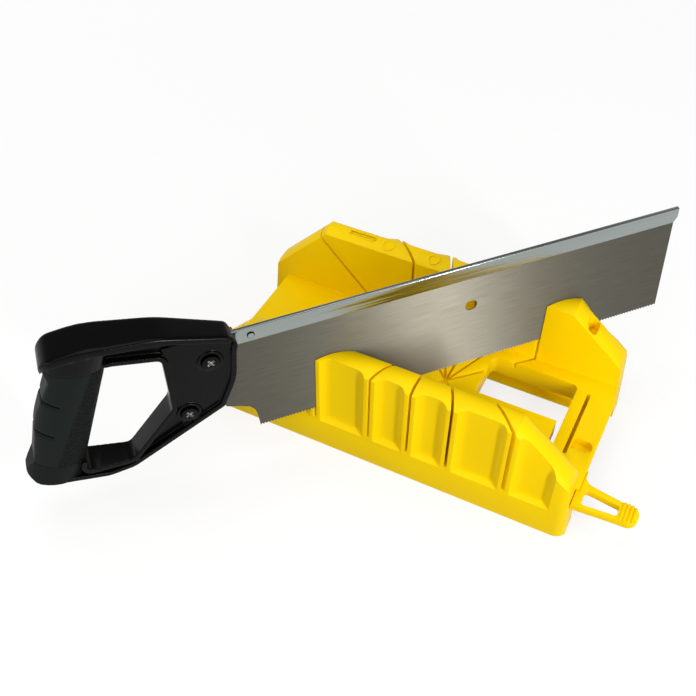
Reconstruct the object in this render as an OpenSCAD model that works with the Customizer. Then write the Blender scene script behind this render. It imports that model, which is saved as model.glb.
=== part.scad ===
// Mitre box with a back saw standing in its 45 degree slot.
// Millimetres. The origin lies on the bench, below the point where the slots cross.
// X runs along the box, Y away from the user, Z up.

/* [Box] */
// Slot crossing to the left end of the box, at the bench
box_left = 196; // [185:1:215]
// Slot crossing to the right end of the box, at the bench
box_right = 133; // [130:1:145]
// Width over both walls
box_w = 161.3; // [152:0.1:176]
// Thickness of each wall, from its outer to its inner face
wall_t = 22.9; // [21:0.1:26]
// Height of the walls at their edges
wall_h = 97.2; // [90:0.1:106]
// Rise of the rounded wall top above its edges
crown_rise = 3.3; // [2:0.1:4.5]
// Thickness of the moulding where the walls are hollow
shell_t = 3; // [2:0.5:3.5]
// Radius of the outer corners, seen from above
corner_r = 10.5; // [8:0.5:13]
// Inward lean of the end faces
end_lean = 4.5; // [0:0.5:6]
// Set-back of the deck's left end from the left end of the walls
deck_setback = 14.5; // [13:0.5:17]
// Width of the ledges at the wall feet that carry the stored saw
ledge_w = 7; // [5:0.5:9]

/* [End slopes] */
// Slot crossing to the start of the left slope
left_slope_x = 143.7; // [138:0.1:148]
// Steepness of the left slope
left_slope_angle = 46; // [42:1:48]
// Slot crossing to the start of the right slope
right_slope_x = 82.5; // [82:0.5:88]
// Steepness of the right slope
right_slope_angle = 40.7; // [36:0.1:44]
// Radius where the left slope turns into the end of the wall
left_slope_r = 18; // [10:0.5:20]
// Radius where the right slope turns into the end of the wall
right_slope_r = 25; // [14:0.5:26]

/* [Slots] */
// Width of the saw slots
slot_w = 2.2; // [1.8:0.1:3]
// Depth of the saw slots below the deck's top
slot_depth = 5.4; // [4:0.1:6]
// Distance from the slot crossing to the foot of the face-cut slot
face_cut_x = 85.6; // [85:0.1:92]
// Lean of the face-cut slot
face_cut_angle = 45; // [41:1:47]

/* [Scoops] */
// Depth of the scoops in the outer faces
scoop_depth = 4.5; // [2.5:0.1:5]
// Flat land between a scoop and a slot
scoop_land = 1.6; // [1.2:0.1:3]
// How far the scoops reach below the slots
scoop_drop = 2.4; // [1:0.1:4]
// Radius of the rounded sides of a scoop
scoop_side_r = 10; // [8:0.5:11]
// Radius of the rounded foot of a scoop
scoop_foot_r = 8; // [7.5:0.5:12]
// Width of the scoop beyond the last slot
end_scoop_w = 35; // [28:0.5:36]
// Width of the scoop to the left of the first slot
left_scoop_w = 70; // [60:1:76]
// Depth of the scoop to the left of the first slot
left_scoop_depth = 6.3; // [4:0.1:6.5]

/* [Deck] */
// Height of the deck that the work lies on
deck_h = 36; // [34:0.5:40]
// Thickness of the deck
deck_t = 8; // [7:0.5:9]
// Depth of the rim under the window, from the deck's top
rim_depth = 17; // [13:0.5:18]
// Thickness of the window rim and the end skirt
rim_t = 3; // [2:0.5:4]
// Right end of the floor under the saw bay
bay_floor_end = 18; // [10:1:19]
// Left edge of the window
window_left = 26; // [20:0.5:40]
// Right edge of the window
window_right = 101; // [99:0.5:103]
// Front edge of the window
window_front = 0; // [-3:0.5:3]
// Back edge of the window
window_back = 44.8; // [40:0.1:50]
// Width of the narrow leg that leaves the window towards the front
leg_w = 4.6; // [4.4:0.1:6]
// Length of the narrow leg
leg_l = 40; // [30:1:44]
// Place of the cross slot in the deck
cross_slot_x = 111.7; // [110:0.1:113]
// Width of the cross slot
cross_slot_w = 3; // [2:0.1:3.4]
// Front end of the cross slot
cross_slot_front = 29; // [26:0.5:34]
// Back end of the cross slot
cross_slot_back = 39.5; // [34:0.5:44]
// Width of the thumb recess beside the cross slot
recess_w = 11.8; // [9:0.1:13]
// Middle of the thumb recess, towards the front
recess_y = 15.4; // [14:0.1:18]
// Depth of the thumb recess
recess_depth = 7; // [4:0.5:8]
// Thickness of the moulding round the thumb recess
recess_wall = 2; // [1.5:0.1:2.2]
// Width of the blind pocket in the back wall's slope
pocket_w = 9; // [7:0.5:10]
// Length of the pocket, across the wall
pocket_l = 15; // [12:0.5:16]
// Depth of the pocket at its middle
pocket_depth = 12; // [6:0.5:16]

/* [Latch] */
// Reach of the latch beyond the end of the box
latch_reach = 46.5; // [43:0.5:50]
// Height of the latch arms
latch_h = 6; // [5:0.5:7]
// Width of the back arm
back_arm_w = 4.5; // [3.5:0.1:5]
// Width of the front arm
front_arm_w = 3.2; // [2.6:0.1:4]
// Length of the thumb pad
pad_l = 15; // [13:0.5:17]
// Gap at the root of the latch
latch_gap = 0.2; // [0.15:0.05:0.4]
// Number of grip ribs on the pad
pad_ribs = 4; // [3:1:5]
// Height of the grip ribs
pad_rib_h = 1.2; // [0.6:0.1:1.6]

/* [Saw blade] */
// Length of the toothed edge
tooth_line = 350; // [330:1:375]
// Tooth pitch
tooth_pitch = 2.55; // [2:0.05:4]
// Depth of the teeth
tooth_depth = 1.5; // [1:0.1:2.4]
// Thickness of the blade
blade_t = 0.9; // [0.7:0.05:1.1]
// How much the blade narrows towards the toe
blade_taper = 4.7; // [0:0.1:8]
// Diameter of the hang hole
hang_hole_d = 10; // [6:0.5:14]
// Heel tooth to the hang hole, along the blade
hang_hole_u = 178.5; // [130:0.5:230]
// Heel tooth to the hang hole, up the blade
hang_hole_v = 67.2; // [55:0.1:78]

/* [Steel back] */
// Height of the back's lower edge above the heel tooth
back_low = 96.2; // [92:0.1:100]
// Height of the folded back
back_h = 13.3; // [11:0.1:16]
// Thickness over the folded back
back_t = 3.4; // [2.8:0.1:4]
// Bend radius at the top edges of the back
back_bend = 0.9; // [0.5:0.1:1.2]
// Clearance of the fold on the blade
back_fit = 0.05; // [0.02:0.01:0.1]
// How far the back runs past the heel tooth
back_run = 5; // [3.5:0.1:5.5]
// Diameter of the rivet's shank
rivet_d = 3; // [2:0.1:3.5]
// Diameter of the rivet's heads
rivet_head_d = 5.6; // [4.6:0.1:7]
// Height of the rivet's heads
rivet_head_h = 0.8; // [0.5:0.1:1.2]

/* [Handle] */
// Heel tooth to the back of the handle
handle_reach = 177.5; // [172:0.5:190]
// Heel tooth to the front edge of the handle
handle_front = 7; // [6:0.1:9]
// Height of the handle's top above the tooth line
handle_top = 140.7; // [137:0.1:150]
// Height of the handle's underside above the tooth line
handle_foot = 5.5; // [3:0.1:8]
// Width of the top cap at the back
cap_w = 31; // [27:0.5:35]
// Width of the top cap at the front
cap_front_w = 19; // [17:0.5:23]
// Thickness of the top cap
cap_t = 6; // [5:0.5:8]
// Thickness of the web between the flanges
web_t = 9; // [7:0.5:10]
// Thickness of the cheek around the blade
cheek_t = 13; // [12:0.5:14]
// Width of the flanges
flange_w = 19; // [17:0.5:22]
// Thickness of the flanges
flange_t = 4; // [3:0.5:5]
// Side clearance of the blade in the handle's kerf
kerf_fit = 0.1; // [0.05:0.05:0.2]

/* [Grip] */
// Thickness of the grip from side to side
grip_t = 31; // [27:0.5:35]
// Depth of the grip's oval, from its back to its front
grip_depth = 43; // [39:0.5:46]
// How far the grip's back bows out between its ends
grip_belly = 4.6; // [3:0.1:6]
// Lean of the grip
grip_lean = 22.6; // [20:0.1:25]
// Thickness of the core under the soft grip
core_t = 12; // [10:0.5:14]
// Depth of soft grip in front of and behind the core
soft_t = 9; // [7:0.5:11]
// Clearance of the soft grip on its core
grip_fit = 0.05; // [0.02:0.01:0.1]
// Width of the grooves round the back of the grip
groove_w = 1.6; // [1.2:0.1:2.4]
// Depth of the grooves
groove_depth = 1.2; // [0.8:0.1:1.6]
// Distance between the grooves
groove_pitch = 30; // [26:0.5:32]

/* [Screws] */
// Upper screw, back from the heel tooth
upper_screw_u = 26.9; // [24:0.1:30]
// Upper screw, height above the tooth line
upper_screw_v = 93; // [88:0.1:94]
// Lower screw, back from the heel tooth
lower_screw_u = 51; // [48:0.1:52]
// Lower screw, height above the tooth line
lower_screw_v = 46; // [44:0.1:49]
// Diameter of the screw shanks
screw_d = 5; // [4:0.1:6]
// Diameter of the screw heads and nuts
screw_head_d = 12.6; // [11:0.1:13.4]
// Height of the screw heads and nuts
screw_head_h = 2.6; // [2:0.1:3.2]
// Diameter of the ringed bosses round the screws
boss_d = 19; // [17.5:0.1:20]
// Height of the bosses above the cheek
boss_rise = 1.4; // [1:0.1:2]
// Radial clearance of the screws
screw_fit = 0.1; // [0.05:0.05:0.3]

/* [Saw in the box] */
// Distance of the heel tooth in front of the slot crossing, along the slot
heel_back = 158.8; // [155:0.1:170]
// Height of the heel tooth above the deck's level
heel_rise = 1.5; // [1:0.1:10]
// Toe-up tilt of the saw
saw_tilt = 4.38; // [2:0.01:6]

/* [Hidden] */
$fn = 64;
yellow = [0.98, 0.80, 0.02];
black = [0.08, 0.08, 0.08];
soft = [0.12, 0.15, 0.15];
steel = [0.62, 0.62, 0.58];
over = 1;
far = 400;
arc_steps = 8;
oval_steps = 28;
mitre_angles = [45, 22.5, 0, -22.5, -45];
wall_out = box_w / 2;
wall_in = wall_out - wall_t;
wall_mid = wall_out - wall_t / 2;
crest_h = wall_h + crown_rise;
crown_r = (wall_t * wall_t / 4 + crown_rise * crown_rise) / (2 * crown_rise);
deck_under = deck_h - deck_t;
deck_left = -box_left + deck_setback;
slot_floor = deck_h - slot_depth;
scoop_foot = slot_floor - scoop_drop;
heel_h = deck_h + heel_rise;
back_top = back_low + back_h;
blade_top = back_top - (back_t - blade_t) / 2;
rivet_place = [back_run + 0.8, back_low + back_h / 2 - 1];
handle_back = -handle_reach;
screw_places = [[-upper_screw_u, upper_screw_v], [-lower_screw_u, lower_screw_v]];
boss_face = cheek_t / 2 + boss_rise;
head_seat = boss_face - boss_rise / 2;

function unit(v) = v / norm(v);

// Points of an arc of radius r that rounds the corner p between its neighbours a and b.
function round_corner(p, a, b, r) =
    let(da = unit(a - p), db = unit(b - p),
        half = acos(da * db) / 2,
        centre = p + unit(da + db) * r / sin(half),
        start = p + da * r / tan(half) - centre,
        end = p + db * r / tan(half) - centre,
        from = atan2(start.y, start.x),
        turn = (atan2(end.y, end.x) - from + 540) % 360 - 180)
    [for (i = [0:arc_steps]) let(a = from + turn * i / arc_steps) centre + r * [cos(a), sin(a)]];

// Outline through corners given as [x, y, radius].
function rounded(c) =
    [for (i = [0:len(c) - 1])
        let(p = c[i], a = c[(i + len(c) - 1) % len(c)], b = c[(i + 1) % len(c)])
        each (p[2] > 0 ? round_corner([p.x, p.y], [a.x, a.y], [b.x, b.y], p[2]) : [[p.x, p.y]])];

// Side outline of a wall. Its top stands clear of the crown, which does the shaping there.
lift = 0.3;
lean = tan(end_lean);
left_t = tan(left_slope_angle);
right_t = tan(right_slope_angle);
left_end_z = (crest_h + lift - (box_left - left_slope_x) * left_t) / (1 - lean * left_t);
right_end_z = (crest_h + lift - (box_right - right_slope_x) * right_t) / (1 - lean * right_t);
function right_slope_z(x) = crest_h - (x - right_slope_x) * right_t;
wall_side = rounded([
    [-box_left, 0, 0],
    [box_right, 0, 0],
    [box_right - right_end_z * lean, right_end_z, right_slope_r],
    [right_slope_x, crest_h + lift, 0],
    [-left_slope_x, crest_h + lift, 0],
    [-box_left + left_end_z * lean, left_end_z, left_slope_r]]);
wall_plan = rounded([
    [-box_left - over, -wall_out, corner_r],
    [box_right + over, -wall_out, corner_r],
    [box_right + over, -wall_in, 0],
    [-box_left - over, -wall_in, 0]]);

// Everything below a rounded ridge that runs through (x, z) at the given slope.
module below_crown(x, z, slope) {
    translate([x, -wall_mid, z])
        rotate([0, -slope, 0])
            rotate([90, 0, 90])
                linear_extrude(2 * far, center = true)
                    intersection() {
                        union() {
                            translate([0, -crown_r]) circle(crown_r, $fn = 128);
                            translate([-far / 2, -crown_r - far]) square(far);
                        }
                        translate([-0.8 * wall_t, -far]) square([1.6 * wall_t, 2 * far]);
                    }
}

module wall_blank() {
    intersection() {
        translate([0, -wall_in, 0]) rotate([90, 0, 0]) linear_extrude(wall_t) polygon(wall_side);
        linear_extrude(far) polygon(wall_plan);
        below_crown(0, crest_h, 0);
        below_crown(-left_slope_x, crest_h, left_slope_angle);
        below_crown(right_slope_x, crest_h, -right_slope_angle);
    }
}

// Upright slots through the front wall, all pointing at the origin, and the leaning face-cut slot.
module mitre_slots() {
    for (a = mitre_angles)
        rotate([0, 0, -a])
            translate([-slot_w / 2, -(wall_out + 4) / cos(a), slot_floor])
                cube([slot_w, (wall_t + 8) / cos(a), far]);
}

module face_cut_slot() {
    translate([-face_cut_x, 0, slot_floor])
        rotate([0, -face_cut_angle, 0])
            translate([-slot_w / 2, -wall_out - over, 0])
                cube([slot_w, wall_t + 2 * over, far]);
}

// One scoop in the outer face between x0 and x1: a flat floor with rounded sides and a rounded foot.
module scoop(x0, x1, depth) {
    floor_y = -wall_out + depth;
    mouth_y = floor_y - scoop_side_r - over;
    rise = sqrt(depth * (2 * scoop_foot_r - depth));
    turn = acos(1 - (depth + over / 2) / scoop_foot_r);
    foot = [for (i = [arc_steps:-1:0]) let(a = turn * i / arc_steps)
        [floor_y - scoop_foot_r * (1 - cos(a)), scoop_foot + rise - scoop_foot_r * sin(a)]];
    intersection() {
        linear_extrude(far)
            polygon(rounded([
                [x0, mouth_y, 0],
                [x1, mouth_y, 0],
                [x1, floor_y, scoop_side_r],
                [x0, floor_y, scoop_side_r]]));
        translate([x0 - over, 0, 0])
            rotate([90, 0, 90])
                linear_extrude(x1 - x0 + 2 * over)
                    polygon(concat(foot, [[floor_y, far / 2], [foot[0].x, far / 2]]));
    }
}

module scoops() {
    edges = [for (a = mitre_angles) -wall_out * tan(a)];
    lands = [for (a = mitre_angles) slot_w / 2 / cos(a) + scoop_land];
    left_end = edges[0] - lands[0];
    right_end = edges[4] + lands[4];
    for (i = [0:len(edges) - 2]) scoop(edges[i] + lands[i], edges[i + 1] - lands[i + 1], scoop_depth);
    scoop(right_end, right_end + end_scoop_w, scoop_depth);
    scoop(left_end - left_scoop_w, left_end, left_scoop_depth);
}

// Hollow between two neighbouring slots, open at the bottom.
module wall_hollow(left_angle, right_angle) {
    y0 = -wall_out + shell_t + scoop_depth;
    y1 = -wall_in - shell_t;
    edge = slot_w / 2 + shell_t;
    left_edge = edge / cos(left_angle);
    right_edge = edge / cos(right_angle);
    translate([0, 0, -over])
        linear_extrude(wall_h - shell_t - scoop_depth + over)
            polygon([
                [y0 * tan(left_angle) + left_edge, y0],
                [y0 * tan(right_angle) - right_edge, y0],
                [y1 * tan(right_angle) - right_edge, y1],
                [y1 * tan(left_angle) + left_edge, y1]]);
}

// Hollows beyond the outermost slots, kept under the slopes and the face-cut slot.
module end_hollows() {
    y0 = -wall_out + shell_t + scoop_depth;
    depth = wall_t - 2 * shell_t - scoop_depth;
    inset = corner_r + shell_t;
    right_x = wall_out + (slot_w / 2 + shell_t) / cos(45);
    cut_edge = (slot_w / 2 + shell_t) / cos(face_cut_angle);
    foot_x = -face_cut_x - cut_edge;
    foot_z = slot_floor - shell_t;
    skin = 2 * shell_t;
    top_z = crest_h - 5.5 * shell_t;
    left_x = -box_left + inset;
    top_x = -left_slope_x - (crest_h - skin - top_z) / left_t;
    left_depth = wall_t - 2 * shell_t - left_scoop_depth;
    translate([right_x, y0, -over])
        cube([box_right - inset - right_x, depth, right_end_z - right_slope_r + over]);
    translate([0, y0 + depth, 0])
        rotate([90, 0, 0])
            linear_extrude(left_depth)
                polygon([
                    [left_x, -over],
                    [foot_x, -over],
                    [foot_x, foot_z],
                    [foot_x - (top_z - foot_z) * tan(face_cut_angle), top_z],
                    [top_x, top_z],
                    [left_x, crest_h - skin + (left_x + left_slope_x) * left_t]]);
}

module hollow_wall() {
    difference() {
        wall_blank();
        mitre_slots();
        face_cut_slot();
        scoops();
        for (i = [0:len(mitre_angles) - 2]) wall_hollow(mitre_angles[i], mitre_angles[i + 1]);
        end_hollows();
    }
    translate([deck_left + rim_t, -wall_in - over, 0])
        cube([box_right - corner_r - deck_left - rim_t, ledge_w + over, rim_t]);
}

module front_wall() color(yellow) hollow_wall();

module back_wall() color(yellow) {
    pocket_x = right_slope_x + 15.3;
    pocket_y = wall_in + 1.4;
    pocket_r = pocket_w / 2 - 0.5;
    pocket = rounded([
        [pocket_x - pocket_w / 2, pocket_y, pocket_r],
        [pocket_x + pocket_w / 2, pocket_y, pocket_r],
        [pocket_x + pocket_w / 2, pocket_y + pocket_l, pocket_r],
        [pocket_x - pocket_w / 2, pocket_y + pocket_l, pocket_r]]);
    difference() {
        mirror([0, 1, 0]) hollow_wall();
        translate([0, 0, right_slope_z(pocket_x) - pocket_depth]) linear_extrude(far) polygon(pocket);
    }
}

// Grooves that carry the slots on across the deck.
module kerf_star() {
    for (a = mitre_angles) rotate(-a) square([slot_w, 2 * far], center = true);
}

// Deck between the walls, with its window and its rim, the cross slot and the thumb recess.
module deck_tray() color(yellow) {
    bay_half = wall_in - ledge_w;
    recess_end = box_right - 2.6 - recess_w / 2;
    recess_x = cross_slot_x + cross_slot_w / 2 + 1.5;
    recess_under = deck_h - recess_depth - recess_wall;
    cross_slot_left = cross_slot_x - cross_slot_w / 2;
    cross_slot_l = cross_slot_front + cross_slot_back;
    window = rounded([
        [window_left, window_front, 5],
        [window_right, window_front, 0],
        [window_right, window_back, 5],
        [window_left, window_back, 5]]);
    rim = rounded([
        [window_left - rim_t, window_front - rim_t, 5],
        [window_right + rim_t, window_front - rim_t, 5],
        [window_right + rim_t, window_back + rim_t, 5],
        [window_left - rim_t, window_back + rim_t, 5]]);
    plan = rounded([
        [deck_left, -wall_in, 0],
        [box_right, -wall_in, 0],
        [box_right, window_back - 3, 30],
        [box_right - 4, wall_in, 0],
        [deck_left, wall_in, 0]]);
    difference() {
        union() {
            translate([0, 0, deck_under]) linear_extrude(deck_t) polygon(plan);
            translate([0, 0, deck_h - rim_depth]) linear_extrude(rim_depth) polygon(rim);
            translate([window_right - leg_w - rim_t, window_front - leg_l - rim_t, deck_h - rim_depth])
                cube([leg_w + 2 * rim_t, leg_l + rim_t + over, rim_depth - over]);
            translate([cross_slot_left - rim_t, -cross_slot_front - rim_t, deck_h - rim_depth])
                cube([cross_slot_w + 2 * rim_t, cross_slot_l + 2 * rim_t, rim_depth - over]);
            translate([cross_slot_x, -recess_y - recess_w / 2 - recess_wall, recess_under])
                cube([recess_end - cross_slot_x, recess_w + 2 * recess_wall, deck_t]);
            translate([recess_end, -recess_y, recess_under])
                cylinder(d = recess_w + 2 * recess_wall, h = deck_t);
            translate([deck_left, -wall_in, 0]) cube([rim_t, 2 * wall_in, deck_h]);
            translate([deck_left, -bay_half, 0]) cube([bay_floor_end - deck_left, 2 * bay_half, rim_t]);
        }
        translate([0, 0, -over]) linear_extrude(deck_h + 2 * over) polygon(window);
        translate([window_right - leg_w, window_front - leg_l, -over])
            cube([leg_w, leg_l + over, deck_h + 2 * over]);
        translate([cross_slot_left, -cross_slot_front, deck_h - rim_depth + recess_wall])
            cube([cross_slot_w, cross_slot_l, rim_depth]);
        translate([recess_x, -recess_y - recess_w / 2, deck_h - recess_depth])
            cube([recess_end - recess_x, recess_w, deck_t]);
        translate([recess_end, -recess_y, deck_h - recess_depth]) cylinder(d = recess_w, h = deck_t);
        translate([0, 0, slot_floor]) linear_extrude(far) kerf_star();
    }
}

// Sprung loop: two arms from the end of the box to a ribbed thumb pad.
module storage_latch() color(yellow) {
    tip = box_right + latch_reach;
    pad_x = tip - pad_l;
    deck_root = box_right + latch_gap;
    wall_root = box_right - (deck_h - latch_h) * lean + latch_gap;
    root_x = deck_root + 1.2;
    root_back = -wall_in + 20;
    front = -wall_out + 7.5;
    pad_back = -wall_in + 4;
    pad_front = front + 2;
    pad_r = 8;
    rib_w = pad_l / (2 * pad_ribs + 2);
    outline = rounded([
        [deck_root, root_back, 0],
        [root_x, root_back, 0],
        [root_x, root_back - 11, 8],
        [pad_x, pad_back, 0],
        [tip, pad_back, pad_r],
        [tip, pad_front, pad_r],
        [pad_x, pad_front, 0],
        [wall_root, front, 0],
        [wall_root, -wall_in - 0.5, 0],
        [deck_root, -wall_in - 0.5, 0]]);
    loop = rounded([
        [root_x + 3, root_back - 11 - 1.3 * back_arm_w, 2.5],
        [pad_x, pad_back - back_arm_w, 2],
        [pad_x, pad_front + front_arm_w, 2],
        [root_x + 3, front + front_arm_w, 2.5]]);
    translate([0, 0, deck_h - latch_h])
        linear_extrude(latch_h)
            difference() {
                polygon(outline);
                polygon(loop);
            }
    translate([0, 0, deck_h - over])
        linear_extrude(over + pad_rib_h)
            intersection() {
                polygon(outline);
                for (i = [0:pad_ribs - 1])
                    translate([pad_x + (2 * i + 1.5) * rib_w, pad_front - over])
                        square([rib_w, pad_back - pad_front + 2 * over]);
            }
}

// The saw's own frame: X along the blade from the heel tooth, Z up the blade.
module in_slot() {
    side = heel_back / sqrt(2);
    translate([-side, -side, heel_h]) rotate([0, 0, 45]) rotate([0, -saw_tilt, 0]) children();
}

module upright(thickness) rotate([90, 0, 0]) linear_extrude(thickness, center = true) children();

module across(place, d, h)
    translate([place.x, 0, place.y]) rotate([90, 0, 0]) cylinder(d = d, h = h, center = true);

teeth = floor(tooth_line / tooth_pitch);
function tooth_base(u) = blade_taper * u / tooth_line;
tooth_points = [for (i = [0:teeth - 1]) let(u = i * tooth_pitch)
    each [[u, tooth_base(u)], [u + tooth_pitch * 0.55, tooth_base(u) + tooth_depth]]];
tang_top = min(back_low + 3, handle_top - 38);
blade_rest = [
    [tooth_line, tooth_base(tooth_line)],
    [tooth_line - 1, blade_top],
    [-back_run + 1, blade_top],
    [-back_run + 1, tang_top],
    [-upper_screw_u - 7, tang_top],
    [-lower_screw_u - 6, lower_screw_v + 4],
    [-lower_screw_u - 6, lower_screw_v - 6],
    [-lower_screw_u + 4, lower_screw_v - 6],
    [-handle_front - 20, lower_screw_v - 2],
    [-22.5, 32.6],
    [-12, 28.5],
    [-5.3, 25],
    [-2, 20.5],
    [-0.9, 15.8],
    [-0.4, 10.6]];

module saw_blade() color(steel) in_slot() {
    difference() {
        upright(blade_t) polygon(concat(tooth_points, blade_rest));
        across([hang_hole_u, hang_hole_v], hang_hole_d, far);
        across(rivet_place, rivet_d, far);
        for (p = screw_places) across(p, screw_d + 2 * screw_fit, far);
    }
}

// Steel strip folded over the top of the blade, with its lower toe corner cut off.
module blade_back() color(steel) in_slot() {
    toe = tooth_line + 1;
    run = toe + back_run;
    difference() {
        translate([-back_run, 0, 0])
            rotate([90, 0, 90])
                linear_extrude(run)
                    polygon(rounded([
                        [-back_t / 2, back_low, 0],
                        [back_t / 2, back_low, 0],
                        [back_t / 2, back_top, back_bend],
                        [-back_t / 2, back_top, back_bend]]));
        upright(far) polygon([[toe - 3, back_low - over], [toe - 3, back_low], [toe, back_low + 5],
            [toe + over, back_low + 5], [toe + over, back_low - over]]);
        translate([-back_run - over, -blade_t / 2 - back_fit, back_low - over])
            cube([run + 2 * over, blade_t + 2 * back_fit, blade_top - back_low + over + back_fit]);
        across(rivet_place, rivet_d, far);
    }
}

module back_rivet() color(steel) in_slot() {
    across(rivet_place, rivet_d, back_t + rivet_head_h);
    for (side = [-1, 1])
        translate([0, side * (back_t + rivet_head_h) / 2, 0]) across(rivet_place, rivet_head_d, rivet_head_h);
}

// Handle outlines in the plane of the blade.
nose_gap = 0.2;
elbow_u = 0.57 * handle_back;
grip_foot = [handle_back + 10, handle_foot + 38];
grip_head = [handle_back + 41, handle_top - 24];
handle_outline = rounded([
    [min(-handle_front + 3, -back_run - nose_gap), handle_top - 37.5, 0],
    [-handle_front, handle_top - 43, 3],
    [-handle_front - 4, handle_top - 70, 60],
    [-handle_front - 17, lower_screw_v - 1.8, 4],
    [elbow_u, handle_foot, 14],
    [0.68 * handle_back, handle_foot, 25],
    [handle_back + 29.5, handle_foot + 9, 30],
    [handle_back + 6, handle_foot + 16.5, 8],
    [handle_back, handle_foot + 26, 6],
    [grip_foot.x, grip_foot.y, 5],
    [handle_back + 22.5, handle_top - 57.5, 70],
    [grip_head.x, grip_head.y, 4],
    [handle_back + 36.5, handle_top - 1, 11],
    [0.61 * handle_back, handle_top + 1.6, 70],
    [0.32 * handle_back, handle_top - 8.5, 90],
    [-handle_front - 2, handle_top - 28, 6]]);
opening_outline = rounded([
    [handle_back + 81, handle_top - 23.7, 4],
    [-lower_screw_u - 8.5, handle_top - 32.5, 5],
    [-lower_screw_u - 11, lower_screw_v + 10, 10],
    [elbow_u + 0.5, handle_foot + 9, 8],
    [handle_back + 41, handle_foot + 14.5, 5],
    [handle_back + 67, handle_top - 66, 80]]);
cap_plan = rounded([
    [handle_back + 36, -cap_w / 2, cap_w / 2 - 0.5],
    [handle_back + 81.5, -cap_w / 2, 80],
    [-handle_front - 1, -cap_front_w / 2, 3],
    [-handle_front - 1, cap_front_w / 2, 3],
    [handle_back + 81.5, cap_w / 2, 80],
    [handle_back + 36, cap_w / 2, cap_w / 2 - 0.5]]);
flange_plan = [
    [handle_back + 12, -grip_t / 2],
    [elbow_u, -flange_w / 2],
    [0, -flange_w / 2],
    [0, flange_w / 2],
    [elbow_u, flange_w / 2],
    [handle_back + 12, grip_t / 2]];

// Everything above the line that the cap doesn't cross.
cap_zone = [
    [handle_back, handle_top - 15],
    [handle_back + 63.5, handle_top - 15],
    [0, handle_top - 44],
    [0, far],
    [handle_back, far]];

// Straight edges where the soft grip starts and ends. It runs up to the underside of the cap.
grip_head_lean = 13;
grip_rise = 24 - cap_t - 9;
grip_zone = [
    grip_foot + [-30, 30 * tan(grip_lean)],
    grip_foot + [60, -60 * tan(grip_lean)],
    grip_head + [60, grip_rise - 60 * tan(grip_head_lean)],
    grip_head + [-30, grip_rise + 30 * tan(grip_head_lean)]];
core_zone = [
    grip_foot + [soft_t + 2, -24],
    grip_foot + [soft_t + 17, -24],
    grip_head + [37 - soft_t, grip_rise + 8],
    grip_head + [soft_t + 1, grip_rise + 8]];

module handle_plate() difference() {
    polygon(handle_outline);
    polygon(opening_outline);
}

// The grip's own frame: Z along its lean, X towards its front.
module along_grip() {
    centre = (grip_foot + grip_head) / 2 + (grip_depth / 2 - grip_belly) * [cos(grip_lean), -sin(grip_lean)];
    translate([centre.x, 0, centre.y]) rotate([0, grip_lean, 0]) children();
}

module oval(half_depth, half_t, length)
    linear_extrude(length, center = true)
        polygon([for (i = [0:oval_steps - 1])
            let(a = i * 360 / oval_steps) [half_depth * cos(a), half_t * sin(a)]]);

// Oval column along the grip, trimmed to the handle's outline.
module oval_column() {
    intersection() {
        upright(far) handle_plate();
        along_grip() oval(grip_depth / 2, grip_t / 2, handle_top + handle_foot);
    }
}

// Shallow grooves that run round the back of the grip.
module grip_grooves() {
    inner_depth = grip_depth / 2 - grip_belly / 2 - groove_depth;
    along_grip()
        for (z = [-groove_pitch / 3, groove_pitch * 2 / 3])
            difference() {
                translate([-grip_depth / 2 - over, -grip_t, z])
                    cube([grip_depth / 3 + over, 2 * grip_t, groove_w]);
                oval(inner_depth, grip_t / 2 - groove_depth, handle_top);
            }
}

module soft_grip() color(soft) in_slot() {
    difference() {
        intersection() {
            oval_column();
            upright(far) polygon(grip_zone);
        }
        upright(core_t + 2 * grip_fit) offset(delta = grip_fit) polygon(core_zone);
        grip_grooves();
    }
}

// Flanges along the lower edge and the front edge, clear of the grip and of the cap.
module outer_flange() intersection() {
    difference() {
        polygon(handle_outline);
        offset(delta = -flange_t) polygon(handle_outline);
    }
    translate([grip_foot.x + 14, -far]) square([far, far + handle_top - 36]);
}

module opening_flange() intersection() {
    difference() {
        offset(delta = flange_t) polygon(opening_outline);
        polygon(opening_outline);
    }
    polygon(handle_outline);
}

module saw_handle() color(black) in_slot() {
    kerf = blade_t + 2 * kerf_fit;
    kerf_back = -lower_screw_u - 7;
    difference() {
        union() {
            difference() {
                union() {
                    upright(web_t) handle_plate();
                    intersection() {
                        upright(far) union() {
                            outer_flange();
                            opening_flange();
                        }
                        linear_extrude(2 * far, center = true) polygon(flange_plan);
                    }
                    oval_column();
                }
                upright(far) polygon(grip_zone);
            }
            upright(core_t) polygon(core_zone);
            upright(cheek_t) intersection() {
                handle_plate();
                translate([kerf_back, -far]) square([far, far + handle_top - 24]);
            }
            intersection() {
                upright(far) difference() {
                    polygon(handle_outline);
                    translate([0, -cap_t]) polygon(handle_outline);
                }
                linear_extrude(far) polygon(cap_plan);
                upright(far) polygon(cap_zone);
            }
            for (p = screw_places) across(p, boss_d, 2 * boss_face);
        }
        translate([kerf_back, -kerf / 2, -over]) cube([far, kerf, tang_top + over + kerf_fit]);
        for (p = screw_places) {
            across(p, screw_d + 2 * screw_fit, far);
            for (side = [-1, 1])
                translate([0, side * (head_seat + boss_rise), 0])
                    across(p, screw_head_d + 1.2, 2 * boss_rise);
        }
    }
}

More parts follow.
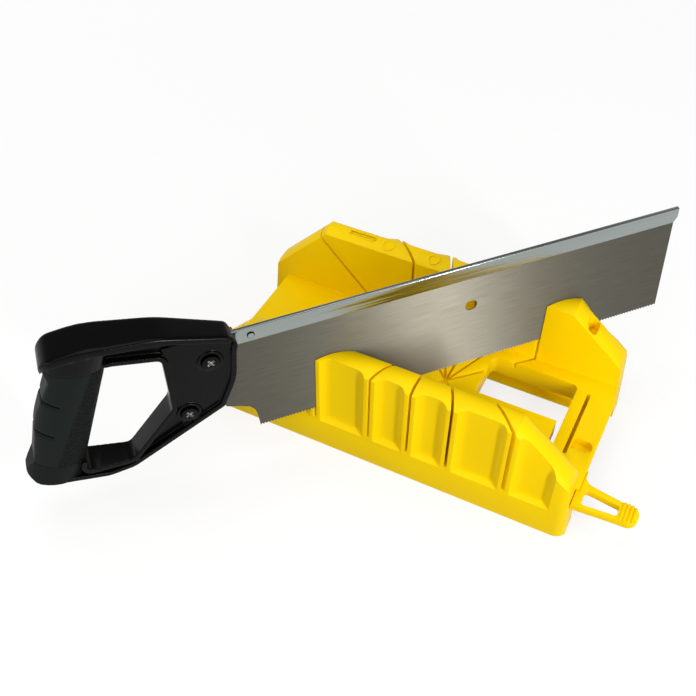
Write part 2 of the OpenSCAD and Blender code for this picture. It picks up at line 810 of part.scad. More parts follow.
// Round-head screws with a cross recess, on the near side.
module handle_screws() color(steel) in_slot() {
    cross_l = screw_head_d / 2;
    cross_w = screw_head_d / 8;
    for (p = screw_places)
        translate([p.x, 0, p.y]) rotate([90, 0, 0]) difference() {
            union() {
                translate([0, 0, -head_seat - screw_head_h])
                    cylinder(d = screw_d, h = 2 * head_seat + screw_head_h);
                translate([0, 0, head_seat]) cylinder(d = screw_head_d, h = screw_head_h);
            }
            for (turn = [35, 125])
                rotate([0, 0, turn])
                    translate([-cross_l / 2, -cross_w / 2, head_seat + screw_head_h / 2])
                        cube([cross_l, cross_w, screw_head_h]);
        }
}

// Round nuts on the far side.
module handle_nuts() color(steel) in_slot() {
    for (p = screw_places)
        translate([p.x, head_seat + screw_head_h / 2, p.y]) rotate([90, 0, 0]) difference() {
            cylinder(d = screw_head_d, h = screw_head_h, center = true);
            cylinder(d = screw_d + 2 * screw_fit, h = 2 * screw_head_h, center = true);
        }
}

deck_tray();
front_wall();
back_wall();
storage_latch();
saw_blade();
blade_back();
back_rivet();
saw_handle();
soft_grip();
handle_screws();
handle_nuts();
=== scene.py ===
# %% [markdown]
# # A mitre box and its back saw
# The solids of the box and the saw arrive ready made, in metres, and this lesson dresses them.
# Moulded plastic gets the soft edges that a mould gives it, steel gets its brushed grain, and
# a studio with a pale floor shows both. Every piece keeps the place that its solid has.

import math

import bpy
from mathutils import Euler, Matrix, Vector


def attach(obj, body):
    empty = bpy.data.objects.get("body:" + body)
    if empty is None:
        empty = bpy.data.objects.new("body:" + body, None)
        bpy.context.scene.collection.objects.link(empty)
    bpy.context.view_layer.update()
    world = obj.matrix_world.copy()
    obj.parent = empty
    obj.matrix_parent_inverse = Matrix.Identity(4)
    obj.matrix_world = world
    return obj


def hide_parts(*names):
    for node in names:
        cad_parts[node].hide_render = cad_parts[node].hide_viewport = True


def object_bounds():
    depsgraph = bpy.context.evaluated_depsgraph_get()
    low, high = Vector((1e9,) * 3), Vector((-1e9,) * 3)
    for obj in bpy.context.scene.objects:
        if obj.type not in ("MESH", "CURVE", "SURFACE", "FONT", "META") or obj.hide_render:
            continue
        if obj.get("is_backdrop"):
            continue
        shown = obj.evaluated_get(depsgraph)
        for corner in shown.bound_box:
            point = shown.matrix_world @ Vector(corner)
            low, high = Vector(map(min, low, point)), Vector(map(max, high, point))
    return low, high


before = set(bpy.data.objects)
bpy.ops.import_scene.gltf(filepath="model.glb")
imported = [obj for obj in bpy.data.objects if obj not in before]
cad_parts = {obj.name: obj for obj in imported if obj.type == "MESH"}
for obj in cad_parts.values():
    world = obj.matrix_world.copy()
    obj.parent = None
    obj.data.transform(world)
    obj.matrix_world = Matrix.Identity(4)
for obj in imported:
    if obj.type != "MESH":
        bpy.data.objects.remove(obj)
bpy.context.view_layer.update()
MM = 0.001
print("nodes:", sorted(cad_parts))

# %% [markdown]
# ## Frames of the saw and the grip
# The saw stands across the box at 45 degrees with its toe a little up, and the grip leans in the
# plane of the blade. Grain runs along the blade and grooves run round the grip, so each of the two
# gets a frame of its own, a place and a turn, in which such things are easy to say.

# %% Saw frame and grip frame
SAW_PLACE = (-0.11229, -0.11229, 0.0375)
SAW_TURN = (0.0, math.radians(-4.38), math.radians(45))
GRIP_PLACE = (-0.2124, -0.2124, 0.1005)
GRIP_TURN = (0.0, math.radians(18.22), math.radians(45))


def way_into(place, turn):
    return (Matrix.Translation(place) @ Euler(turn).to_matrix().to_4x4()).inverted()


to_saw = way_into(SAW_PLACE, SAW_TURN)
to_grip = way_into(GRIP_PLACE, GRIP_TURN)
from_grip = to_grip.inverted()
saw_axes = Euler(SAW_TURN).to_matrix()
SAW_RUN = saw_axes @ Vector((1, 0, 0))
SAW_UP = saw_axes @ Vector((0, 0, 1))
print("blade runs along", [round(v, 3) for v in SAW_RUN])

# %% [markdown]
# ## Camera
# The photograph was taken from the front right, well above the box, with a lens a little longer
# than a phone's. The camera is given as a place, a target and a small roll, because a turn in
# degrees is hard to read and a target is easy to check.

# %% Camera
EYE = Vector((0.1644, -0.5222, 0.6243))
TARGET = Vector((-0.09615, 0.01075, 0.020))
ROLL = math.radians(0.8)
FOCAL_LENGTH = 49.57
SENSOR_WIDTH = 36

lens = bpy.data.cameras.new("photo_camera")
lens.lens = FOCAL_LENGTH
lens.sensor_width = SENSOR_WIDTH
camera = bpy.data.objects.new("photo_camera", lens)
bpy.context.scene.collection.objects.link(camera)
aim = (TARGET - EYE).to_track_quat("-Z", "Y").to_matrix().to_4x4()
camera.matrix_world = Matrix.Translation(EYE) @ aim @ Matrix.Rotation(ROLL, 4, "Z")
bpy.context.scene.camera = camera
print("camera stands", round((TARGET - EYE).length, 3), "m from its target")

# %% [markdown]
# ## Helpers
# Operators act on whatever is selected, so each step first selects one piece and nothing else.
# A solid's mesh comes as loose triangles. A copy of it is merged, and its flat faces are joined
# again, so that a bevel finds the real edges and not the cuts between triangles.

# %% Select one piece and copy a solid
MERGE_REACH = 0.005 * MM
FLAT_ANGLE = math.radians(0.5)


def select_only(piece):
    bpy.ops.object.select_all(action="DESELECT")
    piece.select_set(True)
    bpy.context.view_layer.objects.active = piece


def merged_copy(node, name, body):
    piece = bpy.data.objects.new(name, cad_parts[node].data.copy())
    bpy.context.scene.collection.objects.link(piece)
    select_only(piece)
    bpy.ops.object.mode_set(mode="EDIT")
    bpy.ops.mesh.select_all(action="SELECT")
    bpy.ops.mesh.remove_doubles(threshold=MERGE_REACH)
    bpy.ops.mesh.dissolve_limited(angle_limit=FLAT_ANGLE)
    bpy.ops.object.mode_set(mode="OBJECT")
    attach(piece, body)
    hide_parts(node)
    return piece


# %% Apply a modifier and cut with another piece
def apply_modifier(piece, kind, **settings):
    modifier = piece.modifiers.new(kind.lower(), kind)
    for name, value in settings.items():
        setattr(modifier, name, value)
    select_only(piece)
    bpy.ops.object.modifier_apply(modifier=modifier.name)


def cut(piece, cutter):
    apply_modifier(piece, "BOOLEAN", operation="DIFFERENCE", object=cutter, solver="EXACT")
    bpy.data.objects.remove(cutter)


# %% [markdown]
# ## Walls, deck and latch
# The box is one thick moulding. A mould can't give a knife edge, so each edge of the real box is
# rounded by about half a millimetre, and that line of light is what makes it read as plastic.
# A Bevel modifier limited by angle rounds the sharp edges and leaves the shallow ones alone.

# %% Box pieces
SHARP_EDGE = math.radians(28)
SMOOTH_BELOW = math.radians(40)


def soften(piece, radius, segments=3):
    apply_modifier(piece, "BEVEL", width=radius, segments=segments, limit_method="ANGLE",
                   angle_limit=SHARP_EDGE, use_clamp_overlap=True)
    bpy.ops.object.shade_smooth_by_angle(angle=SMOOTH_BELOW)
    print(piece.name, len(piece.data.polygons), "faces")


front_wall = merged_copy("front_wall", "front_wall_moulding", "mitre_box")
back_wall = merged_copy("back_wall", "back_wall_moulding", "mitre_box")
deck = merged_copy("deck_tray", "deck_moulding", "mitre_box")
latch = merged_copy("storage_latch", "latch_moulding", "latch")
for piece, radius in ((front_wall, 0.45), (back_wall, 0.45), (deck, 0.35), (latch, 0.5)):
    soften(piece, radius * MM)

# %% [markdown]
# ## Blank badges
# A moulded box carries raised frames on the top of its back wall: one long and two round. Here
# they are bare. The top of the wall is a piece of a cylinder, so a flat frame would stick out at
# its rim. Each frame starts as a block that reaches into the wall. One Boolean keeps what lies
# inside a cylinder just under a millimetre larger than the wall's own, so that the frame follows
# the curve, and one opens its middle.

# %% Curve of the wall's top
CROWN_R = 21.51 * MM
CROWN_AXIS = (-80 * MM, 69.2 * MM, 78.99 * MM)
CROWN_LENGTH = 200 * MM
FRAME_RISE = 0.8 * MM
bpy.ops.object.select_all(action="DESELECT")
bpy.ops.mesh.primitive_cylinder_add(
    vertices=256, radius=CROWN_R + FRAME_RISE, depth=CROWN_LENGTH, location=CROWN_AXIS,
    rotation=(0, math.radians(90), 0))
crown = bpy.context.object
print("crown radius", round(CROWN_R / MM, 2), "mm")


# %% Block under a frame
def block(outline, place, size):
    bpy.ops.object.select_all(action="DESELECT")
    if outline == "long":
        bpy.ops.mesh.primitive_cube_add(size=1, location=place, scale=size)
    else:
        bpy.ops.mesh.primitive_cylinder_add(vertices=64, radius=0.5, depth=1, location=place,
                                            scale=size)
    bpy.ops.object.transform_apply(location=True, rotation=True, scale=True)
    return bpy.context.object


# %% Frames
FRAME_WIDTH = 0.9 * MM
FRAME_EDGE = 0.15 * MM
BLOCK_MIDDLE = 98 * MM
BLOCK_HEIGHT = 8 * MM
CUTTER_HEIGHT = 20 * MM
# Name, outline, x and y of the middle, width and depth, in millimetres.
FRAMES = (("long_badge", "long", -110.6, 67, 24.6, 5),
          ("left_badge", "round", -85.6, 65.3, 10.4, 10.4),
          ("right_badge", "round", -43.6, 66.1, 10.4, 10.4))

badges = []
for name, outline, x, y, width, depth in FRAMES:
    spot = (x * MM, y * MM, BLOCK_MIDDLE)
    badge = block(outline, spot, (width * MM, depth * MM, BLOCK_HEIGHT))
    badge.name = name
    middle = block(outline, spot, (width * MM - 2 * FRAME_WIDTH, depth * MM - 2 * FRAME_WIDTH,
                                   CUTTER_HEIGHT))
    apply_modifier(badge, "BOOLEAN", operation="INTERSECT", object=crown, solver="EXACT")
    cut(badge, middle)
    soften(badge, FRAME_EDGE, 2)
    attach(badge, "mitre_box")
    badges.append(badge)
bpy.data.objects.remove(crown)

# %% [markdown]
# ## Handle
# The handle is a moulding with generous, flowing edges. A bevel can't follow an outline this busy,
# so the copy is rebuilt from small voxels, smoothed until its edges flow, and thinned again. The
# cap is a dome on the real handle, and only its lower edge is crisp. A line along its top, in the
# saw's own frame, tells how far each point lies below it. Points near the line are smoothed much
# more: a vertex group holds how far each point may move.


# %% Smooth a part of a piece
def smooth_where(piece, share_at, passes):
    free = piece.vertex_groups.new(name="free")
    for point in piece.data.vertices:
        share = share_at(point.co)
        if share > 0:
            free.add([point.index], min(share, 1.0), "REPLACE")
    apply_modifier(piece, "SMOOTH", factor=0.5, iterations=passes, vertex_group=free.name)
    piece.vertex_groups.clear()


# %% Top of the cap
CAP_LINE = ((-142 * MM, 139 * MM), (-107 * MM, 142.6 * MM), (-56 * MM, 132.5 * MM),
            (-7 * MM, 113 * MM))
CAP_FREE = 4.5 * MM
CAP_BLEND = 3 * MM


def cap_height(run):
    for (start, low), (end, high) in zip(CAP_LINE, CAP_LINE[1:]):
        if run <= end:
            return low + (high - low) * max(run - start, 0) / (end - start)
    return CAP_LINE[-1][1]


def cap_share(point):
    spot = to_saw @ point
    return (spot.z - cap_height(spot.x) + CAP_FREE) / CAP_BLEND


# %% Handle
EDGE_PASSES = 8
CAP_PASSES = 160

handle = merged_copy("saw_handle", "handle_moulding", "saw")
apply_modifier(handle, "REMESH", mode="VOXEL", voxel_size=0.4 * MM)
apply_modifier(handle, "SMOOTH", factor=0.5, iterations=EDGE_PASSES)
smooth_where(handle, cap_share, CAP_PASSES)
apply_modifier(handle, "DECIMATE", ratio=0.15)
bpy.ops.object.shade_smooth()
print(handle.name, len(handle.data.polygons), "faces")

# %% [markdown]
# ## Soft grip
# The grip is a sleeve of soft plastic, moulded round the core, and it has no flat anywhere. Its
# solid is an oval of flat facets. It is rebuilt from voxels and smoothed hard, but only between
# its ends, which must still meet the handle.

# %% Sleeve
GRIP_ENDS = (-38.5 * MM, 45.5 * MM)
GRIP_BLEND = 7 * MM
SLEEVE_PASSES = 90


def sleeve_share(point):
    height = (to_grip @ point).z
    return min(height - GRIP_ENDS[0], GRIP_ENDS[1] - height) / GRIP_BLEND


grip = merged_copy("soft_grip", "grip_sleeve", "saw")
apply_modifier(grip, "REMESH", mode="VOXEL", voxel_size=0.5 * MM)
smooth_where(grip, sleeve_share, SLEEVE_PASSES)
print(grip.name, len(grip.data.polygons), "faces before its grooves")

# %% [markdown]
# Smoothing has melted the finger grooves, so they are cut again, as a workshop would file them: a
# thin oval ring, opened to the back of the grip alone, is taken away at each groove's height.

# %% Finger grooves
GROOVE_WIDTH = 1.6 * MM
GROOVE_HALF = (17.9 * MM, 14.2 * MM)
GROOVE_HEIGHTS = (-9.2 * MM, 20.8 * MM)
RING_HALF = (40 * MM, 40 * MM)
HOLE_HEIGHT = 10 * MM
FRONT_BLOCK = 100 * MM
FRONT_MIDDLE = 43 * MM


def grip_disc(height, half, thickness):
    bpy.ops.object.select_all(action="DESELECT")
    bpy.ops.mesh.primitive_cylinder_add(
        vertices=96, radius=1, depth=1, location=from_grip @ Vector((0, 0, height)),
        rotation=GRIP_TURN, scale=(*half, thickness))
    return bpy.context.object


for height in GROOVE_HEIGHTS:
    ring = grip_disc(height, RING_HALF, GROOVE_WIDTH)
    hole = grip_disc(height, GROOVE_HALF, HOLE_HEIGHT)
    front = from_grip @ Vector((FRONT_MIDDLE, 0, height))
    bpy.ops.mesh.primitive_cube_add(size=FRONT_BLOCK, location=front, rotation=GRIP_TURN)
    front_half = bpy.context.object
    cut(ring, hole)
    cut(ring, front_half)
    cut(grip, ring)
apply_modifier(grip, "DECIMATE", ratio=0.35)
bpy.ops.object.shade_smooth_by_angle(angle=SMOOTH_BELOW)
print(grip.name, len(grip.data.polygons), "faces")

# %% [markdown]
# ## Steel back, rivet and screws
# The steel back is a folded strip, and its corners are bent and not cut. On the real saw it runs up
# to the handle. Its solid stops up to 3 mm short of the handle's nose, so the strip's end is drawn
# on into the nose, and no daylight shows between them. Rivet and screws are small turned parts,
# and a fine bevel gives each head its bright rim.

# %% End of the strip
STRIP_END = -4 * MM
END_REACH = 4.5 * MM

steel_back = merged_copy("blade_back", "steel_back", "saw")
bpy.ops.object.mode_set(mode="EDIT")
bpy.ops.mesh.select_all(action="DESELECT")
bpy.ops.object.mode_set(mode="OBJECT")
for point in steel_back.data.vertices:
    point.select = (to_saw @ point.co).x < STRIP_END
bpy.ops.object.mode_set(mode="EDIT")
bpy.ops.transform.translate(value=-END_REACH * SAW_RUN)
bpy.ops.object.mode_set(mode="OBJECT")
soften(steel_back, 0.25 * MM, 2)

# %% Rivet, screws and nuts
rivet = merged_copy("back_rivet", "rivet", "saw")
screws = merged_copy("handle_screws", "screws", "saw")
nuts = merged_copy("handle_nuts", "nuts", "saw")
for piece, radius in ((rivet, 0.6), (screws, 0.35), (nuts, 0.35)):
    soften(piece, radius * MM)

# %% [markdown]
# ## Materials
# Colours are written as a designer gives them, in sRGB hex, and one function turns them to the
# linear values that Blender mixes light with. One more function adds a node, sets it and links it.
# A Mix node has a set of sockets for each kind of data, all with the same names, so its colour
# sockets are told by their numbers.

# %% Colours and nodes
COLOUR_A, COLOUR_B = 6, 7
COLOUR_OUT = 2


def linear(code):
    channels = [int(code[i:i + 2], 16) / 255 for i in (1, 3, 5)]
    return [c / 12.92 if c <= 0.04045 else ((c + 0.055) / 1.055) ** 2.4 for c in channels] + [1.0]


def add(tree, kind, inputs=None, **settings):
    node = tree.nodes.new(kind)
    for name, value in settings.items():
        setattr(node, name, value)
    for socket, value in (inputs or {}).items():
        if isinstance(value, bpy.types.NodeSocket):
            tree.links.new(value, node.inputs[socket])
        else:
            node.inputs[socket].default_value = value
    return node


# %% Start a material and put it on
def new_material(name):
    material = bpy.data.materials.new(name)
    material.use_nodes = True
    tree = material.node_tree
    tree.nodes.clear()
    place = add(tree, "ShaderNodeTexCoord").outputs["Object"]
    return material, tree, place


def wear(piece, material):
    piece.data.materials.clear()
    piece.data.materials.append(material)
    print(piece.name, "wears", material.name)


# %% [markdown]
# ### Yellow ABS
# The box is ABS from a lightly sparked steel mould: a strong even yellow, a satin shine, and a
# fine grain that breaks up the highlight. The real grain is about 0.2 mm, and it is drawn at
# 0.7 mm here, because finer grain would not show. A slow cloud of tint is what flowing plastic
# leaves in the colour.

# %% Yellow ABS
yellow_abs, tree, place = new_material("yellow_abs")
grain = add(tree, "ShaderNodeTexNoise", {
    "Vector": place, "Scale": 1 / (0.7 * MM), "Detail": 2.0})
cloud = add(tree, "ShaderNodeTexNoise", {
    "Vector": place, "Scale": 1 / (45 * MM), "Detail": 1.0})
tint = add(tree, "ShaderNodeMix", {
    "Factor": cloud.outputs["Fac"], COLOUR_A: linear("#F8CE00"), COLOUR_B: linear("#FCD602")},
    data_type="RGBA")
shine = add(tree, "ShaderNodeMapRange", {
    "Value": grain.outputs["Fac"], "To Min": 0.34, "To Max": 0.48})
bump = add(tree, "ShaderNodeBump", {
    "Height": grain.outputs["Fac"], "Strength": 0.06, "Distance": 0.1 * MM})
skin = add(tree, "ShaderNodeBsdfPrincipled", {
    "Base Color": tint.outputs[COLOUR_OUT], "Roughness": shine.outputs["Result"], "IOR": 1.53,
    "Specular IOR Level": 0.07, "Normal": bump.outputs["Normal"]})
add(tree, "ShaderNodeOutputMaterial", {"Surface": skin.outputs["BSDF"]})
for piece in (front_wall, back_wall, deck, latch, *badges):
    wear(piece, yellow_abs)

# %% [markdown]
# ### Brushed spring steel
# The blade is spring steel, ground along its length. The scratches run along the blade, so the
# reflection smears across it, and a lamp shows as one upright bright band between darker ends. The
# scratches are drawn 0.4 mm wide and 25 mm long, several times their real width.

# %% Blade steel
blade_steel, tree, place = new_material("brushed_spring_steel")
along = add(tree, "ShaderNodeMapping", {
    "Vector": place, "Location": SAW_PLACE, "Rotation": SAW_TURN,
    "Scale": (25 * MM, 1.0, 0.4 * MM)}, vector_type="TEXTURE")
scratch = add(tree, "ShaderNodeTexNoise", {
    "Vector": along.outputs["Vector"], "Scale": 1.0, "Detail": 3.0})
tone = add(tree, "ShaderNodeMix", {
    "Factor": scratch.outputs["Fac"], COLOUR_A: linear("#54514A"), COLOUR_B: linear("#868376")},
    data_type="RGBA")
shine = add(tree, "ShaderNodeMapRange", {
    "Value": scratch.outputs["Fac"], "To Min": 0.42, "To Max": 0.52})
bump = add(tree, "ShaderNodeBump", {
    "Height": scratch.outputs["Fac"], "Strength": 0.2, "Distance": 0.05 * MM})
up = add(tree, "ShaderNodeCombineXYZ", {"X": SAW_UP.x, "Y": SAW_UP.y, "Z": SAW_UP.z})
skin = add(tree, "ShaderNodeBsdfPrincipled", {
    "Base Color": tone.outputs[COLOUR_OUT], "Metallic": 1.0,
    "Roughness": shine.outputs["Result"], "Anisotropic": 1.0,
    "Tangent": up.outputs["Vector"], "Normal": bump.outputs["Normal"]})
add(tree, "ShaderNodeOutputMaterial", {"Surface": skin.outputs["BSDF"]})
wear(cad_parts["saw_blade"], blade_steel)

# %% [markdown]
# ### Bright rolled strip
# The back is cold-rolled strip, smoother than the blade. It mirrors the box as soft yellow bands.
# Rolling leaves long faint streaks, which are drawn 2.5 mm wide and 80 mm long.

# %% Steel back
bright_strip, tree, place = new_material("bright_rolled_strip")
along = add(tree, "ShaderNodeMapping", {
    "Vector": place, "Location": SAW_PLACE, "Rotation": SAW_TURN,
    "Scale": (80 * MM, 1.0, 2.5 * MM)}, vector_type="TEXTURE")
roll = add(tree, "ShaderNodeTexNoise", {
    "Vector": along.outputs["Vector"], "Scale": 1.0, "Detail": 2.0})
tone = add(tree, "ShaderNodeMix", {
    "Factor": roll.outputs["Fac"], COLOUR_A: linear("#919895"), COLOUR_B: linear("#9DA4A1")},
    data_type="RGBA")
shine = add(tree, "ShaderNodeMapRange", {
    "Value": roll.outputs["Fac"], "To Min": 0.2, "To Max": 0.28})
skin = add(tree, "ShaderNodeBsdfPrincipled", {
    "Base Color": tone.outputs[COLOUR_OUT], "Metallic": 1.0,
    "Roughness": shine.outputs["Result"]})
add(tree, "ShaderNodeOutputMaterial", {"Surface": skin.outputs["BSDF"]})
wear(steel_back, bright_strip)

# %% [markdown]
# ### Black polypropylene
# The handle's hard moulding is black polypropylene with an even satin grain, about 0.4 mm on the
# real one and drawn at 0.9 mm. The soft skin of the grip runs on over the foot of the handle. It
# is a second colour in the same moulding, so it is a second colour in the material too: a Mapping
# node turns places into the grip's own frame, where the foot is all that lies within the oval and
# low enough.

# %% Grain of the handle
black_pp, tree, place = new_material("black_polypropylene")
grain = add(tree, "ShaderNodeTexNoise", {
    "Vector": place, "Scale": 1 / (0.9 * MM), "Detail": 2.0})
tint = add(tree, "ShaderNodeMix", {
    "Factor": grain.outputs["Fac"], COLOUR_A: linear("#030303"), COLOUR_B: linear("#090909")},
    data_type="RGBA")
satin = add(tree, "ShaderNodeMapRange", {
    "Value": grain.outputs["Fac"], "To Min": 0.16, "To Max": 0.24})
bump = add(tree, "ShaderNodeBump", {
    "Height": grain.outputs["Fac"], "Strength": 0.08, "Distance": 0.1 * MM})
print(black_pp.name, "has its grain")

# %% Foot of the handle
GRIP_HALF = (21.5 * MM, 15.5 * MM, 45 * MM)
FOOT_REACH = 1.05
FOOT_TOP = -0.3

in_grip = add(tree, "ShaderNodeMapping", {
    "Vector": place, "Location": GRIP_PLACE, "Rotation": GRIP_TURN, "Scale": GRIP_HALF},
    vector_type="TEXTURE")
height = add(tree, "ShaderNodeSeparateXYZ", {"Vector": in_grip.outputs["Vector"]})
flat = add(tree, "ShaderNodeVectorMath", {0: in_grip.outputs["Vector"], 1: (1, 1, 0)},
           operation="MULTIPLY")
out = add(tree, "ShaderNodeVectorMath", {0: flat.outputs["Vector"]}, operation="LENGTH")
near = add(tree, "ShaderNodeMath", {0: out.outputs["Value"], 1: FOOT_REACH},
           operation="LESS_THAN")
low = add(tree, "ShaderNodeMath", {0: height.outputs["Z"], 1: FOOT_TOP}, operation="LESS_THAN")
foot = add(tree, "ShaderNodeMath", {0: near.outputs[0], 1: low.outputs[0]}, operation="MULTIPLY")
print(black_pp.name, "has its foot")

# %% Handle plastic
both = add(tree, "ShaderNodeMix", {
    "Factor": foot.outputs[0], COLOUR_A: tint.outputs[COLOUR_OUT], COLOUR_B: linear("#090E0D")},
    data_type="RGBA")
shine = add(tree, "ShaderNodeMix", {
    "Factor": foot.outputs[0], "A": satin.outputs["Result"], "B": 0.55}, data_type="FLOAT")
skin = add(tree, "ShaderNodeBsdfPrincipled", {
    "Base Color": both.outputs[COLOUR_OUT], "Roughness": shine.outputs[0], "IOR": 1.49,
    "Specular IOR Level": 0.11, "Normal": bump.outputs["Normal"]})
add(tree, "ShaderNodeOutputMaterial", {"Surface": skin.outputs["BSDF"]})
wear(handle, black_pp)

# %% [markdown]
# ### Soft grip
# The grip is a rubbery elastomer. It is duller than the handle and a little blue-green, and its
# front has a stipple of small cells, about 1 mm across and drawn at 1.6 mm. The stipple is wider
# at its foot than at its head, so its edge is a slanted plane in the grip's own frame. The colour
# is darker in the gaps between the cells, as painted shade.

# %% Stipple
FRONT_SLANT = (1.0, 0.0, -0.25)

soft_tpe, tree, place = new_material("thermoplastic_elastomer")
in_grip = add(tree, "ShaderNodeMapping", {
    "Vector": place, "Location": GRIP_PLACE, "Rotation": GRIP_TURN, "Scale": GRIP_HALF},
    vector_type="TEXTURE")
forward = add(tree, "ShaderNodeVectorMath", {0: in_grip.outputs["Vector"], 1: FRONT_SLANT},
              operation="DOT_PRODUCT")
front = add(tree, "ShaderNodeMapRange", {
    "Value": forward.outputs["Value"], "From Min": 0.12, "From Max": 0.22})
cells = add(tree, "ShaderNodeTexVoronoi", {"Vector": place, "Scale": 1 / (1.6 * MM)})
gap = add(tree, "ShaderNodeMapRange", {
    "Value": cells.outputs["Distance"], "From Min": 0.3, "From Max": 0.6})
stipple = add(tree, "ShaderNodeMath", {0: gap.outputs["Result"], 1: front.outputs["Result"]},
              operation="MULTIPLY")
print(soft_tpe.name, "has its stipple")

# %% Grip rubber
# Painted shade: the colour goes darker in the gaps between the stipple's cells.
tint = add(tree, "ShaderNodeMix", {
    "Factor": stipple.outputs[0], COLOUR_A: linear("#0F1514"), COLOUR_B: linear("#020202")},
    data_type="RGBA")
shine = add(tree, "ShaderNodeMapRange", {
    "Value": front.outputs["Result"], "To Min": 0.5, "To Max": 0.65})
bump = add(tree, "ShaderNodeBump", {
    "Height": stipple.outputs[0], "Strength": 0.8, "Distance": 0.3 * MM})
skin = add(tree, "ShaderNodeBsdfPrincipled", {
    "Base Color": tint.outputs[COLOUR_OUT], "Roughness": shine.outputs["Result"], "IOR": 1.5,
    "Specular IOR Level": 0.1, "Normal": bump.outputs["Normal"]})
add(tree, "ShaderNodeOutputMaterial", {"Surface": skin.outputs["BSDF"]})
wear(grip, soft_tpe)

# %% [markdown]
# ### Blackened steel
# Screws, nuts and rivet are blackened steel. The oxide is dark and uneven, and it shines where it
# is rubbed. Its patches are drawn 1.5 mm wide.

# %% Screw and rivet steel
black_oxide, tree, place = new_material("black_oxide_steel")
grain = add(tree, "ShaderNodeTexNoise", {
    "Vector": place, "Scale": 1 / (1.5 * MM), "Detail": 2.0})
tint = add(tree, "ShaderNodeMix", {
    "Factor": grain.outputs["Fac"], COLOUR_A: linear("#121212"), COLOUR_B: linear("#1E1E1D")},
    data_type="RGBA")
shine = add(tree, "ShaderNodeMapRange", {
    "Value": grain.outputs["Fac"], "To Min": 0.28, "To Max": 0.4})
skin = add(tree, "ShaderNodeBsdfPrincipled", {
    "Base Color": tint.outputs[COLOUR_OUT], "Metallic": 1.0,
    "Roughness": shine.outputs["Result"]})
add(tree, "ShaderNodeOutputMaterial", {"Surface": skin.outputs["BSDF"]})
for piece, slot in ((screws, "screw_steel"), (nuts, "screw_steel"), (rivet, "rivet_steel")):
    wear(piece, black_oxide)

# %% [markdown]
# The middle of each cross recess and of the rivet's heads is given strip steel as a painted
# highlight. Those faces lie close to an axis, so they are found by their place in the saw's own
# frame.

# %% Painted highlights in the middles
SCREW_AXES = ((-26.9 * MM, 93 * MM), (-51 * MM, 46 * MM))
RIVET_AXES = ((5.8 * MM, 101.85 * MM),)


# Painted highlight: faces near each axis get bright strip steel in place of the oxide.
def paint_highlights(piece, axes, reach, low, high):
    piece.data.materials.append(bright_strip)
    highlit = 0
    for face in piece.data.polygons:
        spot = to_saw @ face.center
        off_axis = min(math.hypot(spot.x - u, spot.z - v) for u, v in axes)
        if off_axis < reach and low < abs(spot.y) < high:
            face.material_index = 1
            highlit += 1
    print(piece.name, "rubbed faces", highlit)


paint_highlights(screws, SCREW_AXES, 3.4 * MM, 8.3 * MM, 9.75 * MM)
paint_highlights(rivet, RIVET_AXES, 0.8 * MM, 2.3 * MM, 2.7 * MM)

# %% [markdown]
# ## Studio
# A plain pale floor takes the shadow. To the camera and in reflections it is white paper, and to
# scattered light it is a mid grey, so that it doesn't fill every shadow under the box with light.
# Far from the box it turns to the white of the air, and no horizon shows.

# %% Floor
FLOOR_SIZE = 40
FLOOR_DROP = -0.0002

bpy.ops.object.select_all(action="DESELECT")
bpy.ops.mesh.primitive_plane_add(size=FLOOR_SIZE, location=(0, 0, FLOOR_DROP))
floor = bpy.context.object
floor.name = "studio_floor"
floor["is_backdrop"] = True
print(floor.name, FLOOR_SIZE, "m wide")


# %% What the camera and reflections see
def seen_directly(tree):
    path = add(tree, "ShaderNodeLightPath").outputs
    straight = add(tree, "ShaderNodeMath", {0: path["Is Camera Ray"], 1: path["Is Glossy Ray"]},
                   operation="MAXIMUM")
    either = add(tree, "ShaderNodeMath", {
        0: straight.outputs[0], 1: path["Is Transmission Ray"]}, operation="MAXIMUM")
    return either.outputs[0]


# %% Paper
GLOW_NEAR, GLOW_FAR = 0.75, 1.0
PALE_FROM, PALE_TO = 0.5, 1.5

paper, tree, place = new_material("white_paper")
fibre = add(tree, "ShaderNodeTexNoise", {"Vector": place, "Scale": 1 / (300 * MM)})
white = add(tree, "ShaderNodeMix", {
    "Factor": fibre.outputs["Fac"], COLOUR_A: linear("#FCFCFB"), COLOUR_B: linear("#FFFFFF")},
    data_type="RGBA")
tint = add(tree, "ShaderNodeMix", {
    "Factor": seen_directly(tree), COLOUR_A: linear("#808080"),
    COLOUR_B: white.outputs[COLOUR_OUT]}, data_type="RGBA")
skin = add(tree, "ShaderNodeBsdfPrincipled", {
    "Base Color": tint.outputs[COLOUR_OUT], "Roughness": 0.9, "Specular IOR Level": 0.0})
glow = add(tree, "ShaderNodeEmission", {"Color": (1, 1, 1, 1), "Strength": 1.0})
away = add(tree, "ShaderNodeVectorMath", {0: place}, operation="LENGTH")
paler = add(tree, "ShaderNodeMapRange", {
    "Value": away.outputs["Value"], "From Min": PALE_FROM, "From Max": PALE_TO,
    "To Min": GLOW_NEAR, "To Max": GLOW_FAR})
share = add(tree, "ShaderNodeMath", {0: seen_directly(tree), 1: paler.outputs["Result"]},
            operation="MULTIPLY")
both = add(tree, "ShaderNodeMixShader", {
    0: share.outputs[0], 1: skin.outputs["BSDF"], 2: glow.outputs[0]})
add(tree, "ShaderNodeOutputMaterial", {"Surface": both.outputs[0]})
wear(floor, paper)

# %% [markdown]
# ## Lamps
# A tall strip lamp stands on the right. Its narrow side lies along the blade, so that its
# reflection in the brushed steel is one upright band. A large soft lamp in front lights the faces
# of the box, and one overhead lights its tops.

# %% Lamps
LEVEL = (1, 0, 0)
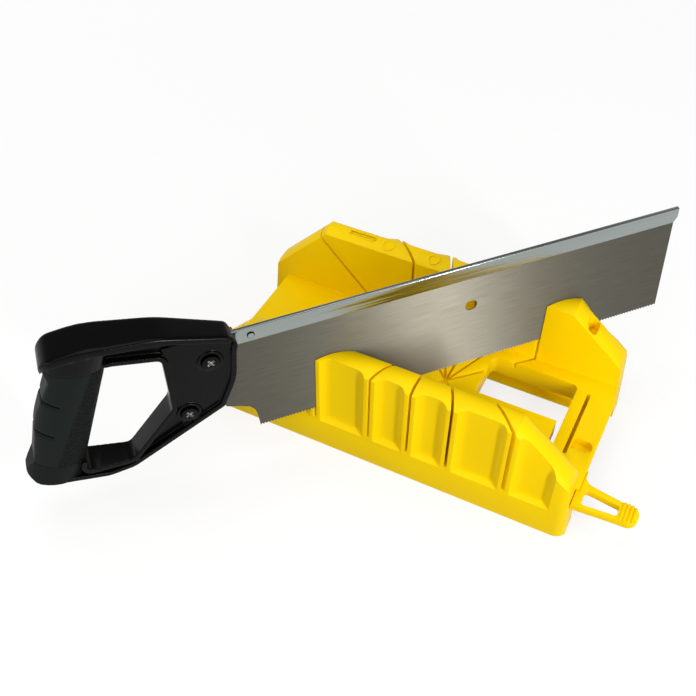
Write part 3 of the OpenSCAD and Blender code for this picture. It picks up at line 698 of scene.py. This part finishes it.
# Name, place, target, direction of the width, width and height in metres, watts.
LAMPS = (("strip", (1.15, -0.67, 0.55), (0, 0, 0.10), SAW_RUN, 0.13, 1.0, 14),
         ("front", (-0.75, -1.4, 1.1), (-0.05, 0, 0.05), LEVEL, 2.4, 1.0, 13),
         ("top", (-0.3, 0.1, 1.9), (-0.05, 0, 0.05), LEVEL, 1.4, 1.4, 11))

for name, spot, target, across, width, height, watts in LAMPS:
    lamp = bpy.data.lights.new(name, "AREA")
    lamp.shape = "RECTANGLE"
    lamp.size, lamp.size_y = width, height
    lamp.energy = watts
    softbox = bpy.data.objects.new(name, lamp)
    bpy.context.scene.collection.objects.link(softbox)
    back = (Vector(spot) - Vector(target)).normalized()
    up = back.cross(Vector(across)).normalized()
    turn = Matrix((up.cross(back), up, back)).transposed().to_4x4()
    softbox.matrix_world = Matrix.Translation(spot) @ turn
    print(name, "lamp at", spot)

# %% [markdown]
# ## World
# The walls of the studio are white and its ceiling is dim, and that is what the camera and the
# reflections see. A dim ceiling keeps black plastic black on top, while its edges still catch the
# white walls. Scattered light sees an even half light instead.

# %% World
WALL_LEVEL, CEILING_LEVEL = 1.0, 0.2
WALL_TOP, CEILING_FROM = 0.1, 0.6
SCATTERED_LEVEL = 0.45

world = bpy.data.worlds.new("studio_air")
bpy.context.scene.world = world
world.use_nodes = True
air = world.node_tree
air.nodes.clear()
way = add(air, "ShaderNodeTexCoord").outputs["Generated"]
rise = add(air, "ShaderNodeSeparateXYZ", {"Vector": way})
ceiling = add(air, "ShaderNodeMapRange", {
    "Value": rise.outputs["Z"], "From Min": WALL_TOP, "From Max": CEILING_FROM,
    "To Min": WALL_LEVEL, "To Max": CEILING_LEVEL})
level = add(air, "ShaderNodeMix", {
    "Factor": seen_directly(air), "A": SCATTERED_LEVEL, "B": ceiling.outputs["Result"]},
    data_type="FLOAT")
sky = add(air, "ShaderNodeBackground", {"Color": (1, 1, 1, 1), "Strength": level.outputs[0]})
add(air, "ShaderNodeOutputWorld", {"Surface": sky.outputs["Background"]})
bpy.context.scene.view_settings.view_transform = "Standard"
print("world", world.name)

# %% [markdown]
# ## Size of the dressed model
# The box of the dressed model is printed, in millimetres.

# %% Sizes and finish
low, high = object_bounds()
print("visual box", [round(v * 1000, 1) for v in (*low, *high)])
